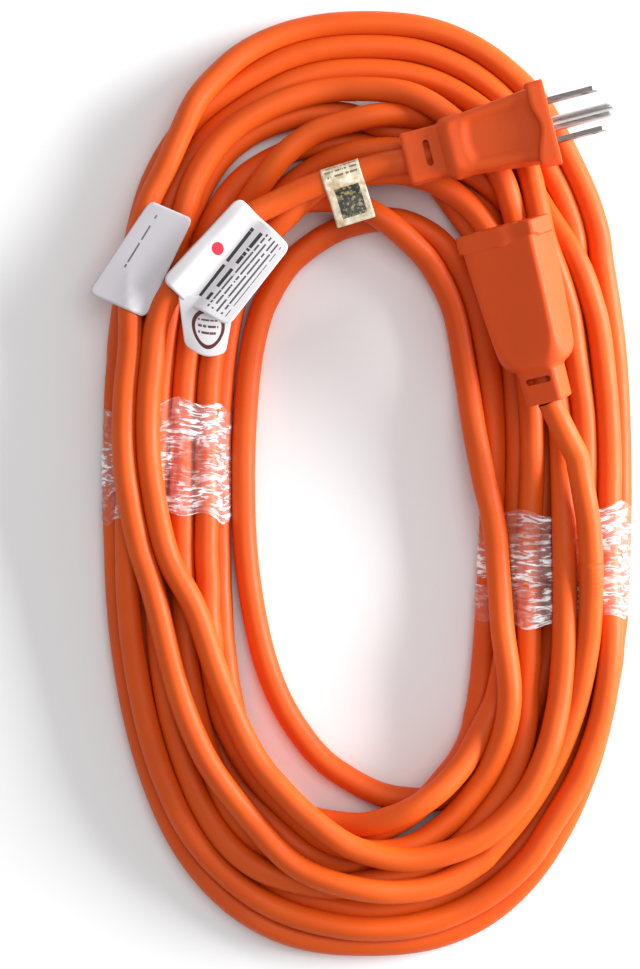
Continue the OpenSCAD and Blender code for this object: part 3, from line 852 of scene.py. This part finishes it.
def make_plug(material):
    """With a thumb recess on top, and a wavy rear edge on the flange."""
    flange_x = PLUG_L - PLUG_FLANGE_L
    keys = [
        (0, 15.4, 11.1, 1.4), (0.2, 15.9, 11.6, 1.6), (0.6, 16.3, 12.0, 1.8), (6, 16.3, 12.0, 1.8),
        (10.6, 16.3, 12.1, 1.8), (11.8, 16.5, 12.4, 2.2), (12.6, 17.6, 14.2, 3.4), (13.4, 19.0, 16.2, 4.2),
        (14.4, 19.6, 17.4, 4.2), (15.6, 19.5, 17.8, 3.8), (16.8, 19.1, 17.6, 3.0), (18.4, 18.9, 17.2, 2.2),
        (20.5, 18.9, 17.2, 1.9), (30, 20.6, 18.6, 1.9), (flange_x - 0.4, 22.6, 21.2, 1.9),
        (flange_x, 22.8, 21.4, 1.9), (flange_x + 0.2, 24.9, 22.9, 1.8),
    ] + face_keys(flange_x, PLUG_L, PLUG_FACE_W, PLUG_FACE_H)

    def dent(x, y, z, w, h):
        top = smoothstep(0.80, 0.97, z / (h / 2))
        side = y / (w / 2 - 2.6)
        past_neck = smoothstep(18.6, 21.6, x - 1.6 * side ** 2)
        before_flange = 1 - smoothstep(flange_x - 1.5, flange_x + 1, x)
        recess = top * ((1 - smoothstep(0.82, 1.0, abs(side))) * past_neck * before_flange)
        z -= 1.15 * recess
        wave = 2.1 * math.exp(-((y + 1) / 5) ** 2) + 0.8 * smoothstep(4, 12, y) - 0.6 * smoothstep(5, 12, -y)
        x += wave * near_flange(x, flange_x, PLUG_L) * smoothstep(0.55, 0.9, z / (h / 2))
        y *= 1 - 0.22 * low_on_flange(x, z, h, flange_x) ** 2
        return (x, y, z)

    return moulded("plug_body", keys, dent, PLUG_AT, PLUG_TURNED, material, relief_windows())


def make_connector(material):
    """With a step on top of the flange, and the holes in its face."""
    flange_x = CONN_L - CONN_FLANGE_L
    keys = [
        (0, 11.4, 11.4, 1.4), (0.2, 12.0, 12.0, 1.6), (0.6, 12.4, 12.4, 1.8), (9.6, 12.6, 12.6, 1.8),
        (10.4, 12.8, 12.8, 2.2), (11.2, 14.4, 13.8, 3.4), (12.0, 17.2, 15.8, 4.6), (13.2, 19.8, 18.0, 5.4),
        (14.8, 21.0, 19.6, 5.0), (16.5, 21.2, 20.2, 4.0), (18.5, 21.1, 20.4, 3.0), (22, 21.3, 20.8, 2.2),
        (33, 22.3, 22.0, 1.8), (44, 23.2, 22.9, 1.8), (flange_x - 0.4, 23.8, 23.3, 1.8),
        (flange_x, 24.0, 23.4, 1.8), (flange_x + 0.2, 25.2, 23.9, 1.8),
    ] + face_keys(flange_x, CONN_L, CONN_FACE_W, CONN_FACE_H)

    def dent(x, y, z, w, h):
        top = smoothstep(0.80, 0.97, z / (h / 2))
        step = smoothstep(2.6, 5.8, -y)
        on_flange = smoothstep(flange_x - 0.2, flange_x + 0.8, x)
        z -= 0.75 * top * step * (1 - smoothstep(w / 2 - 4.5, w / 2 - 3, -y)) * on_flange
        wave = 0.9 * step - 0.7 * math.exp(-((y + 1.5) / 2) ** 2)
        x += wave * near_flange(x, flange_x, CONN_L) * smoothstep(0.55, 0.9, z / (h / 2))
        y *= 1 - 0.10 * low_on_flange(x, z, h, flange_x) ** 2
        return (x, y, z)

    blade_z = 5.4
    depth = 2.5
    slot_t, line_slot_h, neutral_slot_h = 2.22, 7.05, 8.6
    ground_r = 2.55
    low, high = CONN_L - depth, CONN_L + 2
    cutters = relief_windows() + [
        prism(box_outline(BLADE_PITCH / 2, blade_z, slot_t, line_slot_h), low, high, 0),
        prism(box_outline(-BLADE_PITCH / 2, blade_z, slot_t, neutral_slot_h), low, high, 0),
        prism(circle_outline(0, blade_z - GROUND_DROP, ground_r), low, high, 0),
    ]
    return moulded("connector_body", keys, dent, CONN_AT, CONN_TURNED, material, cutters)


# ---- the film wraps ----

def hull(points):
    """The convex outline of 2D points, counter-clockwise."""
    points = sorted(map(tuple, points))

    def half(order):
        chain = []
        for p in order:
            while len(chain) > 1 and ((chain[-1][0] - chain[-2][0]) * (p[1] - chain[-2][1])
                                      - (chain[-1][1] - chain[-2][1]) * (p[0] - chain[-2][0])) <= 0:
                chain.pop()
            chain.append(p)
        return chain[:-1]

    return half(points) + half(points[::-1])


def film_section(centres, gap, steps):
    """The film's outline round a row of cords, evenly stepped from its leftmost point."""
    around = np.linspace(0, 2 * math.pi, 28, endpoint=False)
    ringed = [p for x, z in centres for p in arc(x, z, CORD_R + gap, around)]
    outline = np.array(hull(ringed))
    start = int(np.argmin(outline[:, 0]))
    outline = np.vstack([outline[start:], outline[:start + 1]])
    along = distance_along(outline)
    at = np.linspace(0, along[-1], steps, endpoint=False)
    return np.stack([np.interp(at, along, outline[:, c]) for c in (0, 1)], 1)


def make_film(name, rows, side, middle_y, material):
    """A band of stretch film drawn tight round the wrapped turns on one side of the hank."""
    slices, steps = 30, 220
    gap = 0.25
    near_y, loose_near_y = 2.6, 3.5
    clear = CORD_R + 0.15
    p, wrapped = rows[:, :3], rows[:, 5] > 0.5
    loose = p[~wrapped]
    vertices = []
    for i in range(slices):
        f = i / (slices - 1)
        y = middle_y + FILM_W * (f - 0.5)
        near = wrapped & (np.abs(p[:, 1] - y) < near_y) & ((p[:, 0] - HANK_X) * side > 0)
        section = film_section(p[near][:, [0, 2]], gap, steps)
        k = np.arange(steps) / steps
        crease = (0.16 * np.sin(2 * math.pi * 9 * k + 4 * f) + 0.12 * np.sin(2 * math.pi * 23 * k - 9 * f + 1)
                  + 0.10 * np.sin(2 * math.pi * 41 * k + 17 * f))
        lean = 1.2 * np.sin(2 * math.pi * 2 * k + side) + 0.7 * np.sin(2 * math.pi * 7 * k + 2 * f)
        out = section - section.mean(0)
        out /= np.linalg.norm(out, axis=1)[:, None]
        section = section + out * (crease * 0.8)[:, None]
        edge = (2 * f - 1) ** 4
        ring = np.stack([section[:, 0], y + lean * (0.4 + edge), np.maximum(section[:, 1], 0.06)], 1)
        for q in loose[np.abs(loose[:, 1] - y) < loose_near_y]:
            off = ring[:, [0, 2]] - q[[0, 2]]
            hit = np.linalg.norm(off, axis=1) < clear
            below = q[2] - np.sqrt(np.maximum(clear ** 2 - off[hit, 0] ** 2, 0))
            ring[hit, 2] = np.minimum(ring[hit, 2], below)
        vertices.append(ring)
    made = add_mesh(name, np.concatenate(vertices) * MM, tube_faces(slices, steps), material)
    set_uv(made, [(k / steps * 3.0, i / (slices - 1)) for i in range(slices) for k in range(steps)])
    return made


# ---- the labels ----

def four_corners(corners, u, v):
    """A place between four corners (x, y): the first is at u = v = 0 and the second at u = 1, v = 0."""
    a, b, c, d = (np.array(p, float) for p in corners)
    return (1 - v) * ((1 - u) * a + u * b) + v * ((1 - u) * d + u * c)


def lie_over(places, cords):
    """Lifts a grid of places off the cords under it, smoothly, as a stiff sheet would lie."""
    clear = 0.35
    smoothing = 70
    lift = np.zeros(places.shape[:2])
    for at in np.ndindex(lift.shape):
        off = np.hypot(*(cords[:, :2] - places[at][:2]).T)
        under = off < CORD_R
        if under.any():
            top = (cords[under, 2] + np.sqrt(CORD_R ** 2 - off[under] ** 2)).max() + clear
            lift[at] = max(0.0, top - places[at][2])
    smooth = lift.copy()
    for _ in range(smoothing):
        edged = np.pad(smooth, 1, mode="edge")
        around = 0.25 * (edged[:-2, 1:-1] + edged[2:, 1:-1] + edged[1:-1, :-2] + edged[1:-1, 2:])
        smooth = np.maximum(around, lift)
    places[:, :, 2] += smooth
    return places


def corner_cut(u, v, cu, cv):
    """Moves a place of the unit square so that the square's corners become round, cu by cv in size."""
    du, dv = abs(u - 0.5) - (0.5 - cu), abs(v - 0.5) - (0.5 - cv)
    if du <= 0 or dv <= 0:
        return u, v
    du, dv = du / cu, dv / cv
    k = max(du, dv) / math.hypot(du, dv)
    u = 0.5 + math.copysign(0.5 - cu + du * k * cu, u - 0.5)
    v = 0.5 + math.copysign(0.5 - cv + dv * k * cv, v - 0.5)
    return u, v


def sheet_mesh(name, point, material, nu=40, nv=40, thickness=0.12, cords=None, corner=(0.08, 0.1)):
    """A thin sheet over the cords, whose places in millimetres come from point(u, v)."""
    uvs = [corner_cut(i / nu, j / nv, *corner) for j in range(nv + 1) for i in range(nu + 1)]
    places = np.array([point(u, v) for u, v in uvs], float).reshape(nv + 1, nu + 1, 3)
    if cords is not None:
        places = lie_over(places, cords)
    vertices = places.reshape(-1, 3) * MM
    faces = [(j * (nu + 1) + i, j * (nu + 1) + i + 1, (j + 1) * (nu + 1) + i + 1, (j + 1) * (nu + 1) + i)
             for j in range(nv) for i in range(nu)]
    made = add_mesh(name, vertices, faces, material)
    set_uv(made, uvs)
    solid = made.modifiers.new("thickness", "SOLIDIFY")
    solid.thickness = thickness * MM
    solid.offset = 1.0
    apply_modifiers(made)
    return made


def make_flag(rows, front, back):
    """The folded flag label: a front leaf over the plug's lead, and a back leaf that peeks out under it."""
    lead_top = PLUG_LEAD_ROUTE[0][2] + CORD_R

    def front_point(u, v):
        """u runs along the lead and v from the far edge to the fold over the lead."""
        bow = math.sin(math.pi * v)
        wave = math.exp(-((v - 0.62) / 0.16) ** 2)
        x, y = four_corners([(-42, 49.5), (-22.5, 74.5), (-38.8, 90.4), (-63.2, 64.3)], u, v)
        x += 0.9 * bow * (u - 0.5) - 1.5 * wave * (u - 0.5)
        y += -0.8 * bow * (1 - u) - 1.6 * wave * (0.8 - u)
        z = lead_top + 0.7 - 2.3 * wave + 1.3 * (1 - v) ** 2 + 0.5 * math.sin(2.4 * u + 0.6)
        over_tail = 1.1 * smoothstep(0.55, 1.0, u) * smoothstep(0.6, 0.85, v)
        return x, y, z + over_tail - 1.4 * (1 - 0.6 * u) * max(0.0, v - 0.86) / 0.14

    def back_point(u, v):
        x, y = four_corners([(-56, 44), (-43, 41.5), (-40, 58), (-58, 60)], u, v)
        y -= 2.4 * math.sin(math.pi * u) * (1 - v)
        return x, y, lead_top - 0.9 - 1.8 * (1 - v) ** 2 + 0.4 * math.sin(3 * u)

    return (sheet_mesh("flag_label_front", front_point, front, cords=rows[:, :3]),
            sheet_mesh("flag_label_back", back_point, back))


def make_tag(rows, material):
    """The flat tag that lies on the outer turns and stands out past them."""

    def point(u, v):
        x, y = four_corners([(-68.5, 52.5), (-53.5, 84), (-67.2, 90), (-87, 60.5)], u, v)
        return x, y, 18.4 + 0.8 * math.sin(2.5 * u + 1.0) - 2.2 * v ** 2

    under = rows[rows[:, 3] < TOP_RANK + 0.3][:, :3]
    return sheet_mesh("tag_label_sheet", point, material, cords=under)


def make_approval(material):
    """The foil label: a wrap over the plug's tail and a leaf that stands off it towards the hole."""
    tail = np.array(PLUG_TAIL_ROUTE, float)
    centre, run = tail[3], tail[4] - tail[2]
    x = run / np.linalg.norm(run)
    y = np.cross((0, 0, 1), x)
    y /= np.linalg.norm(y)
    z = np.cross(x, y)
    width, leaf, gap = 12.6, 12.5, 0.2
    start, end, wrap_steps = math.radians(-50), math.radians(148), 30
    path = arc(0, 0, CORD_R + gap, np.linspace(start, end, wrap_steps))
    leaf_steps = 24
    for k in range(1, leaf_steps + 1):
        slope = math.radians(-58 + 60 * smoothstep(0, 0.45, k / leaf_steps))
        py, pz = path[-1]
        path.append((py - leaf / leaf_steps * math.cos(slope), pz + leaf / leaf_steps * math.sin(slope)))

    def point(u, v):
        at = (1 - v) * (len(path) - 1)
        i = min(int(at), len(path) - 2)
        py, pz = (path[i][c] + (path[i + 1][c] - path[i][c]) * (at - i) for c in (0, 1))
        return centre + x * (u - 0.5) * width + y * py + z * (pz + 0.12 * math.sin(5 * u) * (1 - v))

    return sheet_mesh("approval_label_foil", point, material, 20, 60, 0.06, corner=(0.02, 0.01))


# ---- the room ----

def make_room():
    """A plain pale floor, a white world, a large low light and a weak one above."""
    n = Nodes("floor")
    n.tone(n.shader(0.6), n.noise(6, 3), (0.86, 0.86, 0.87), (0.89, 0.89, 0.90))
    half = 3.0
    floor = add_mesh("floor", [(-half, -half, 0), (half, -half, 0), (half, half, 0), (-half, half, 0)],
                     [(0, 1, 2, 3)], n.material, smooth=False)

    world = bpy.data.worlds.new("studio")
    world.use_nodes = True
    color, strength = world.node_tree.nodes["Background"].inputs[:2]
    color.default_value = (1.0, 1.0, 1.0, 1)
    strength.default_value = 0.5
    bpy.context.scene.world = world

    for name, place, size, power in (("key", (1.40, 0.28, 0.46), (1.1, 0.6), 62.0),
                                     ("top", (0.35, 0.35, 1.5), (1.0, 1.0), 7.0)):
        data = bpy.data.lights.new(name, "AREA")
        data.shape = "RECTANGLE"
        data.size, data.size_y = size
        data.energy = power
        light = bpy.data.objects.new(name, data)
        light.location = place
        light.rotation_euler = (-Vector(place)).to_track_quat("-Z", "Y").to_euler()
        bpy.context.scene.collection.objects.link(light)
    bpy.context.scene.view_settings.view_transform = "Standard"


# ---- the whole object ----

def nearest_index(line, point):
    return int(np.argmin(np.linalg.norm(line - np.array(point, float), axis=1)))


def make_cord(jacket):
    """The whole cord, as one run of rings cut into the hank and its two free tails."""
    step, fine_step = 4.0, 2.0
    rows = settle(evenly(smooth_curve(control_points()), step), step)
    line = evenly(smooth_curve(rows, 4), fine_step)[:, :3]
    rings = cord_rings(line * MM)
    first = nearest_index(line, CONNECTOR_TAIL_ROUTE[0])
    last = nearest_index(line, PLUG_TAIL_ROUTE[0])
    made = []
    for name, a, b, caps in (
            ("cord_hank", first, last + 1, True),
            ("cord_connector_tail", 0, first + 1, False),
            ("cord_plug_tail", last, len(line), False)):
        made.append((cord_mesh(name, rings[a:b], jacket, caps), line[a:b] * MM))
    return rows, *made


def line_length(line):
    return float(np.linalg.norm(np.diff(line, axis=0), axis=1).sum())


def finish_nodes(names, material):
    """For the CAD nodes that stay in view."""
    for name in names:
        for slot in frame["nodes"][name].material_slots:
            slot.material = material


def main():
    make_camera()
    make_room()
    jacket = vinyl("cord_vinyl", (0.63, 0.076, 0.006), (0.71, 0.098, 0.009), 0.46, 1500, 0.22)
    moulding = vinyl("moulded_vinyl", (0.62, 0.070, 0.010), (0.68, 0.086, 0.014), 0.50, 2600, 0.2)
    plated = metal("blade_plate", (0.09, 0.087, 0.085), (0.20, 0.19, 0.185), 0.3, (1, 14, 14))
    pin_plate = metal("pin_plate", (0.42, 0.40, 0.38), (0.62, 0.60, 0.58), 0.3, (1, 14, 14))
    brass = metal("contact_brass", (0.55, 0.38, 0.14), (0.76, 0.56, 0.26), 0.3, (1, 10, 10))
    nylon = plastic("nylon", (0.66, 0.62, 0.50), (0.76, 0.73, 0.62), 0.45)
    inks = {
        "black": plastic("wire_black", grey(0.012), grey(0.03), 0.4),
        "white": plastic("wire_white", (0.75, 0.75, 0.73), (0.86, 0.86, 0.84), 0.4),
        "green": plastic("wire_green", (0.015, 0.16, 0.04), (0.03, 0.24, 0.07), 0.4),
    }
    film = film_material()

    rows, (hank, main_line), (conn_tail, conn_line), (plug_tail, plug_line) = make_cord(jacket)
    conn_line = conn_line[::-1]

    finish_nodes(("line_blade", "neutral_blade"), plated)
    finish_nodes(("ground_pin",), pin_plate)
    finish_nodes(("plug_crimps", "line_contact", "neutral_contact", "ground_contact", "connector_crimps"), brass)
    finish_nodes(("blade_carrier", "contact_carrier"), nylon)
    finish_nodes(("plug_jacket_end", "connector_jacket_end"), jacket)
    for ink, material in inks.items():
        finish_nodes((f"plug_{ink}_wire", f"connector_{ink}_wire"), material)

    plug = make_plug(moulding)
    connector = make_connector(moulding)
    film_left = make_film("film_left", rows, -1, FILM_LEFT_Y, film)
    film_right = make_film("film_right", rows, 1, FILM_RIGHT_Y, film)
    flag_front, flag_back = make_flag(rows, flag_material(), flag_back_material())
    tag = make_tag(rows, tag_material())
    approval = make_approval(approval_material())

    for piece in (hank, film_left, film_right, flag_front, flag_back, tag):
        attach(piece, "root")
    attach(plug, "plug")
    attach(connector, "connector")
    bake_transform(plug_tail)
    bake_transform(approval)
    tuple(conn_line[0])
    tuple(conn_line[-1])
    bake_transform(conn_tail)

    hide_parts("coil_bundle", "coil_top_turns", "inner_loop", "plug_lead")
    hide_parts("plug_tail")
    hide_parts("connector_tail")
    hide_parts("plug_overmould")
    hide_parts("connector_overmould")
    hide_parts("film_wrap_left")
    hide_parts("film_wrap_right")
    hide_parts("flag_label")
    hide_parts("tag_label")
    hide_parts("approval_label")

    for name, pieces in (
            ("cord_jacket", (hank, plug_tail, conn_tail)),
            ("moulded_vinyl", (plug, connector)),
            ("stretch_film", (film_left, film_right)),
            ("label_paper", (flag_front, flag_back, tag)),
            ("approval_foil", (approval,))):
        for piece in pieces:
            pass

    line_length(main_line)
    line_length(plug_line)
    tuple(conn_line[0])
    line_length(conn_line)
    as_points(conn_line)


main()
